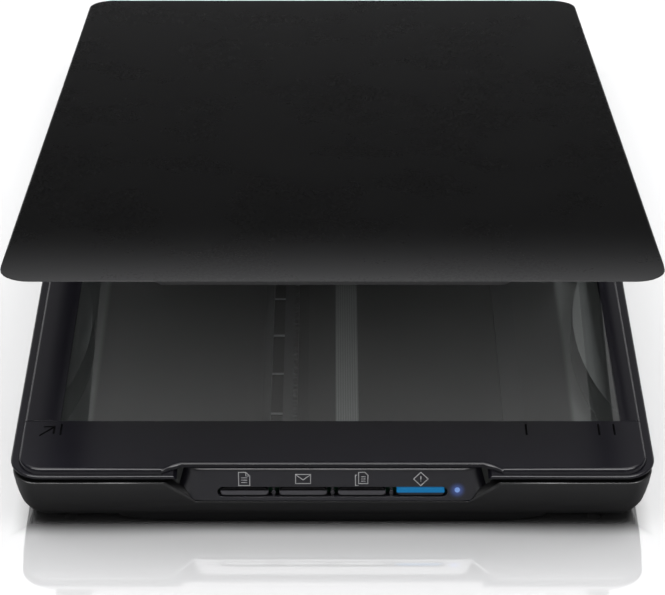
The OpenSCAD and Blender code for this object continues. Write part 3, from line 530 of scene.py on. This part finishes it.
light_lo, light_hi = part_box("status_light")
LIGHT_FACE = ((light_lo.x + light_hi.x) / 2, light_lo.y, LIGHT_HEIGHT)
MATERIALS = {
    "lower_case": plastic("case_grey", (0.0062, 0.0062, 0.0068), 0.30, grain=0.000004, spec=0.52,
                          painted_tub_light=(0.020, 0.020, 0.020)),
    "upper_case": plastic("case_black", CASE_BLACK, 0.24, grain=0.000003, spec=0.24),
    "panel_plastic": plastic("panel_black", (0.0105, 0.0100, 0.0140), 0.30, grain=0.000003,
                             spec=0.40, halo=LIGHT_FACE),
    # the grey bar's near-black upper colour is painted shade of the slot over it
    "button_grey": button_bar("button_grey", (0.0012, 0.0012, 0.0014), (0.060, 0.058, 0.066), 0.45),
    "inner_plastic": plastic("inner_black", (0.020, 0.020, 0.021), 0.5, grain=0.000008,
                             grain_scale=1700),
    "lid_plastic": plastic("lid_black", (0.0024, 0.0024, 0.0025), 0.28, grain=0.000004, spec=0.06,
                           painted_sheen=True),
    "lid_inner": plastic("lid_inner_black", (0.012, 0.012, 0.014), 0.5, grain=0.000015),
    "stand_plastic": plastic("stand_black", (0.014, 0.014, 0.015), 0.45, grain=0.000015),
    "white_plastic": plastic("calibration_white", (0.75, 0.75, 0.74), 0.6, tint=0.03, wear=0.0),
    "gear_plastic": plastic("acetal", (0.62, 0.60, 0.53), 0.35, tint=0.05, wear=0.3, sss=0.2),
    "connector": plastic("connector_cream", (0.55, 0.52, 0.42), 0.45, tint=0.06),
    "chip": plastic("chip_epoxy", (0.013, 0.013, 0.014), 0.55, grain=0.00002),
    "rubber": plastic("foot_rubber", (0.012, 0.012, 0.012), 0.8, grain=0.00004,
                      grain_scale=1400, spec=0.25, wear=0.6),
    "plate": metal("blank_plate", (0.42, 0.42, 0.43), 0.4, (14, 1, 1)),
    "steel": metal("zinc_steel", (0.55, 0.56, 0.58)),
    "brass": metal("brass", (0.62, 0.43, 0.16), 0.25),
    "circuit_board": circuit_board("solder_mask"),
    "flat_cable": flat_cable("flat_cable_film"),
    "bed_glass": glass("bed_glass", (0.93, 0.945, 0.942), 1.7),
    "clear_glass": glass("sensor_glass", (0.90, 0.93, 0.93)),
    "clear_plastic": glowing("light_guide", (0.75, 0.85, 0.88), 0.02, 0.15),
    "button_blue": button_bar("button_blue", (0.004, 0.045, 0.11), (0.006, 0.008, 0.014), -0.35,
                              glow=(0.009, 0.125, 0.29)),
    "light_pipe": glowing("status_blue", (0.30, 0.50, 1.0), 0.45, 0.2, (0.05, 0.10, 0.3)),
    "foam": foam("mat_foam_grey"),
    "mat_white": foam_and_sheet("mat_white"),
}


SHARP_ANGLE = 48
WELD_GAP = 0.002 * MM


def clean_group():
    """Geometry nodes: joins the triangles' corners and shades smoothly below SHARP_ANGLE."""
    tree = bpy.data.node_groups.new("clean_shading", "GeometryNodeTree")
    tree.interface.new_socket("Geometry", in_out="INPUT", socket_type="NodeSocketGeometry")
    tree.interface.new_socket("Geometry", in_out="OUTPUT", socket_type="NodeSocketGeometry")
    first = tree.nodes.new("NodeGroupInput")
    last = tree.nodes.new("NodeGroupOutput")
    merge = tree.nodes.new("GeometryNodeMergeByDistance")
    merge.inputs["Distance"].default_value = WELD_GAP
    normal = tree.nodes.new("GeometryNodeSetMeshNormal")
    normal.mode = "SHARPNESS"
    angle = tree.nodes.new("GeometryNodeInputMeshEdgeAngle")
    sharp = tree.nodes.new("FunctionNodeCompare")
    sharp.operation = "GREATER_THAN"
    sharp.inputs["B"].default_value = math.radians(SHARP_ANGLE)
    link = tree.links.new
    link(first.outputs[0], merge.inputs[0])
    link(merge.outputs[0], normal.inputs[0])
    link(angle.outputs[0], sharp.inputs["A"])
    link(sharp.outputs[0], normal.inputs["Edge Sharpness"])
    normal.inputs["Remove Custom"].default_value = True
    link(normal.outputs[0], last.inputs[0])
    return tree


CLEAN = clean_group()


def dress_frame():
    """Every CAD node gets its slot's material and clean shading."""
    slot_of = {s["node"]: s["material_slot"] for s in frame["record"]["subparts"]}
    own = {"guide_rail": rail_plastic("rail_black")}
    for name, o in nodes.items():
        material = own.get(name) or MATERIALS[slot_of[name]]
        for i in range(len(o.material_slots)):
            o.material_slots[i].link = "OBJECT"
            o.material_slots[i].material = material
        o.modifiers.new("clean", "NODES").node_group = CLEAN
        o.modifiers.new("weights", "WEIGHTED_NORMAL").keep_sharp = True


# ---- Pieces added to the frame ----

def add_mesh(name, verts, faces, material, body):
    mesh = bpy.data.meshes.new(name)
    mesh.from_pydata([tuple(v) for v in verts], [], faces)
    mesh.update()
    o = bpy.data.objects.new(name, mesh)
    bpy.context.scene.collection.objects.link(o)
    mesh.materials.append(material)
    for p in mesh.polygons:
        p.use_smooth = True
    if body:
        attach(o, body)
    return o


def stroke_mesh(paths, width, height, steps=8):
    """Printed line work: each path of (x, z) points becomes a flat rounded bead."""
    verts, faces = [], []
    for closed, path in paths:
        pts = [Vector(p) for p in path]
        n = len(pts)
        base = len(verts)
        for i, p in enumerate(pts):
            a = pts[i - 1] if (closed or i > 0) else p
            b = pts[(i + 1) % n] if (closed or i < n - 1) else p
            d1 = (p - a).normalized() if (p - a).length else (b - p).normalized()
            d2 = (b - p).normalized() if (b - p).length else d1
            t = (d1 + d2).normalized() if (d1 + d2).length > 1e-6 else d1
            side = Vector((-t.y, t.x))
            stretch = 1 / max(0.5, side.dot(Vector((-d1.y, d1.x))))
            for k in range(steps):
                u = 2 * math.pi * k / steps
                q = p + side * (math.cos(u) * width / 2 * stretch)
                verts.append((q.x, -math.sin(u) * height, q.y))
        rings = n if closed else n - 1
        for i in range(rings):
            for k in range(steps):
                k2 = (k + 1) % steps
                i2 = (i + 1) % n
                faces.append((base + i * steps + k, base + i * steps + k2,
                              base + i2 * steps + k2, base + i2 * steps + k))
        if not closed:
            faces.append(tuple(base + k for k in reversed(range(steps))))
            faces.append(tuple(base + (n - 1) * steps + k for k in range(steps)))
    return verts, faces


PANEL_LEAN = math.radians(18)
PANEL_FOOT = Vector((0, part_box("upper_case")[0].y + 3.14 * MM, BAR_HEIGHT))
BUTTON_PITCH = 22.8 * MM
ICON_RISE = 5.4 * MM


def panel_matrix(x, z):
    """Frame on the panel's face: x right, y inwards, z up the lean."""
    turn = Matrix.Rotation(-PANEL_LEAN, 4, "X")
    return Matrix.Translation(PANEL_FOOT) @ turn @ Matrix.Translation((x, 0, z))


def make_icons():
    """Four generic pictograms over the buttons: page, envelope, pages, start."""
    ink = plastic("print_grey", (0.42, 0.42, 0.43), 0.6, grain=0.000004, tint=0.05, wear=0.0)
    w, h = 2.15, 2.75
    page = (True, [(-w, -h), (w, -h), (w, h - 1.5), (w - 1.5, h), (-w, h)])
    fold = (False, [(w - 1.5, h), (w - 1.5, h - 1.5), (w, h - 1.5)])
    lines = [(False, [(-1.2, z), (1.2, z)]) for z in (-1.5, -0.5, 0.5)]
    envelope = [(True, [(-2.9, -1.9), (2.9, -1.9), (2.9, 1.9), (-2.9, 1.9)]),
                (False, [(-2.8, 1.7), (0, -0.4), (2.8, 1.7)])]
    back_page = (False, [(-1.3, -2.7), (-2.5, -2.7), (-2.5, 1.6), (-1.9, 1.6)])
    front_page = (True, [(-1.3, -1.9), (2.3, -1.9), (2.3, 1.5), (1.1, 2.8), (-1.3, 2.8)])
    text_lines = [(False, [(-0.4, z), (1.4, z)]) for z in (-0.9, 0.0, 0.9)]
    diamond = [(True, [(0, -2.8), (2.8, 0), (0, 2.8), (-2.8, 0)]),
               (False, [(0, -1.2), (0, 1.2)])]
    icons = {"icon_page": [page, fold, *lines], "icon_envelope": envelope,
             "icon_pages": [back_page, front_page, *text_lines], "icon_start": diamond}
    for i, (name, paths) in enumerate(icons.items()):
        middle = (len(icons) - 1) / 2
        scaled = [(c, [(x * MM, z * MM) for x, z in p]) for c, p in paths]
        verts, faces = stroke_mesh(scaled, 0.36 * MM, 0.03 * MM)
        place = panel_matrix((i - middle) * BUTTON_PITCH, ICON_RISE)
        add_mesh(name, [place @ Vector(v) for v in verts], faces, ink, "base")


def make_bezel_marks():
    """Paper-width ticks and the origin arrow, raised on the front bezel."""
    ink = plastic("mark_black", (0.0008, 0.0008, 0.0010), 0.7, grain=0.000002, wear=0.0,
                  spec=0.02)
    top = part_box("front_bezel")[1].z
    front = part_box("upper_case")[0].y
    # places in millimetres: x from the middle, y from the case's front
    left = -106.5
    paths = [(False, [(left + width, 22.0), (left + width, 28.6)])
             for width in (0.0, 182.5, 211.0, 217.0)]
    arrow = [(False, [(-114.6, 21.6), (-109.4, 26.8)]),
             (False, [(-113.4, 27.0), (-109.2, 27.0), (-109.2, 22.8)])]
    for name, lines in (("width_ticks", paths), ("origin_arrow", arrow)):
        scaled = [(c, [(x * MM, y * MM) for x, y in p]) for c, p in lines]
        verts, faces = stroke_mesh(scaled, 0.80 * MM, 0.06 * MM)
        placed = [(x, front + y, top - z) for x, z, y in verts]
        add_mesh(name, placed, [f[::-1] for f in faces], ink, "base")


def make_sensor_cable():
    """Flat cable from the main board to the moving sensor board: a soft fold at rest."""
    lo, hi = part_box("sensor_flex_cable")
    y0, y1 = hi.y, lo.y
    rows, across = 160, 15
    verts, faces = [], []
    half = (hi.x - lo.x) / 2 - 0.1 * MM
    mid = (hi.x + lo.x) / 2
    for side in (0, 1):
        for i in range(rows + 1):
            t = i / rows
            y = y0 + (y1 - y0) * t
            rise = 16.9 * MM + (21.3 - 16.9) * MM * min(1, t * 3.2) ** 0.6
            crown = 0.35 * MM * math.sin(math.pi * min(1.0, t * 1.1))
            for k in range(across + 1):
                x = mid + half * (2 * k / across - 1)
                sag = 0.05 * MM * math.cos(math.pi * (2 * k / across - 1) / 2)
                verts.append((x, y, rise + crown + sag - side * 0.22 * MM))
    stride = across + 1
    top = (rows + 1) * stride
    for i in range(rows):
        for k in range(across):
            a = i * stride + k
            faces.append((a, a + 1, a + stride + 1, a + stride))
            faces.append((top + a, top + a + stride, top + a + stride + 1, top + a + 1))
        a, b = i * stride, (i + 1) * stride
        faces.append((a, b, top + b, top + a))
        a, b = i * stride + across, (i + 1) * stride + across
        faces.append((a, top + a, top + b, b))
    for k in range(across):
        faces.append((k, top + k, top + k + 1, k + 1))
        e = rows * stride + k
        faces.append((e, e + 1, top + e + 1, top + e))
    o = add_mesh("sensor_ribbon", verts, faces, MATERIALS["flat_cable"], None)
    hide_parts("sensor_flex_cable")
    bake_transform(o)


def make_mat():
    """Document mat under the lid: a thin foam pad in a white film, held along its rim."""
    slo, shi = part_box("mat_sheet")
    hinge = next(j for j in frame["record"]["behaviour"]["joints"] if j["name"] == "lid_hinge")
    turn = -math.radians(hinge["range_deg"][0])
    pivot = Vector(hinge["pos_m"])
    close = Matrix.Translation(pivot) @ Matrix.Rotation(turn, 4, "X") @ Matrix.Translation(-pivot)
    # in the closed lid's frame the pad is a flat slab
    x0, x1 = slo.x + 0.2 * MM, shi.x - 0.2 * MM
    y0, y1 = -HALF_LENGTH + 31.8 * MM, -HALF_LENGTH + 330.2 * MM
    z_top, z_low = 33.08 * MM, 31.78 * MM
    nx, ny = 66, 90
    verts, faces = [], []

    def spread(n):
        """Rows that crowd towards the edges, so that the rim is round."""
        return [0.5 - 0.5 * math.cos(math.pi * i / n) for i in range(n + 1)]

    us, vs = spread(nx), spread(ny)
    rng = np.random.default_rng(11)
    bumps = [(rng.uniform(0.1, 0.9), rng.uniform(0.1, 0.9), rng.uniform(0.05, 0.14),
              rng.uniform(-0.05, 0.09)) for _ in range(26)]
    for side in (0, 1):
        for v in vs:
            for u in us:
                x, y = x0 + (x1 - x0) * u, y0 + (y1 - y0) * v
                edge = min(x - x0, x1 - x, y - y0, y1 - y)
                round_in = max(0.0, 1 - edge / (0.9 * MM))
                puff = 0.18 * MM * math.exp(-edge / (7 * MM)) * (1 - round_in)
                wave = sum(d * MM * math.exp(-((u - a) ** 2 + (v - b) ** 2 * 1.7) / (2 * r * r))
                           for a, b, r, d in bumps)
                mid = (z_top + z_low) / 2
                half = (z_top - z_low) / 2 * math.sqrt(max(0.0, 1 - round_in ** 2))
                if side == 0:
                    z = mid + half
                else:
                    z = mid - half + 0.12 * MM * (1 - round_in) - puff * 0.6 - wave * 0.5
                    z = max(z, z_low)
                verts.append((x, y, z))
    stride = nx + 1
    top = (ny + 1) * stride
    for j in range(ny):
        for i in range(nx):
            a = j * stride + i
            faces.append((a, a + 1, a + stride + 1, a + stride))
            faces.append((top + a, top + a + stride, top + a + stride + 1, top + a + 1))
    open_pose = close.inverted()
    o = add_mesh("document_mat", [open_pose @ Vector(v) for v in verts], faces,
                 MATERIALS["mat_white"], None)
    weld(o)
    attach(o, "lid")
    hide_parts("mat_foam", "mat_sheet")


def weld(o):
    """Joins the corners along the mat's rim and turns its faces outwards."""
    bm = bmesh.new()
    bm.from_mesh(o.data)
    bmesh.ops.remove_doubles(bm, verts=bm.verts, dist=1e-6)
    bmesh.ops.recalc_face_normals(bm, faces=bm.faces)
    bm.to_mesh(o.data)
    bm.free()


bpy.context.scene.view_settings.view_transform = "Standard"
make_camera()
make_world()
make_stage()
make_lights()
dress_frame()
make_icons()
make_bezel_marks()
make_sensor_cable()
make_mat()
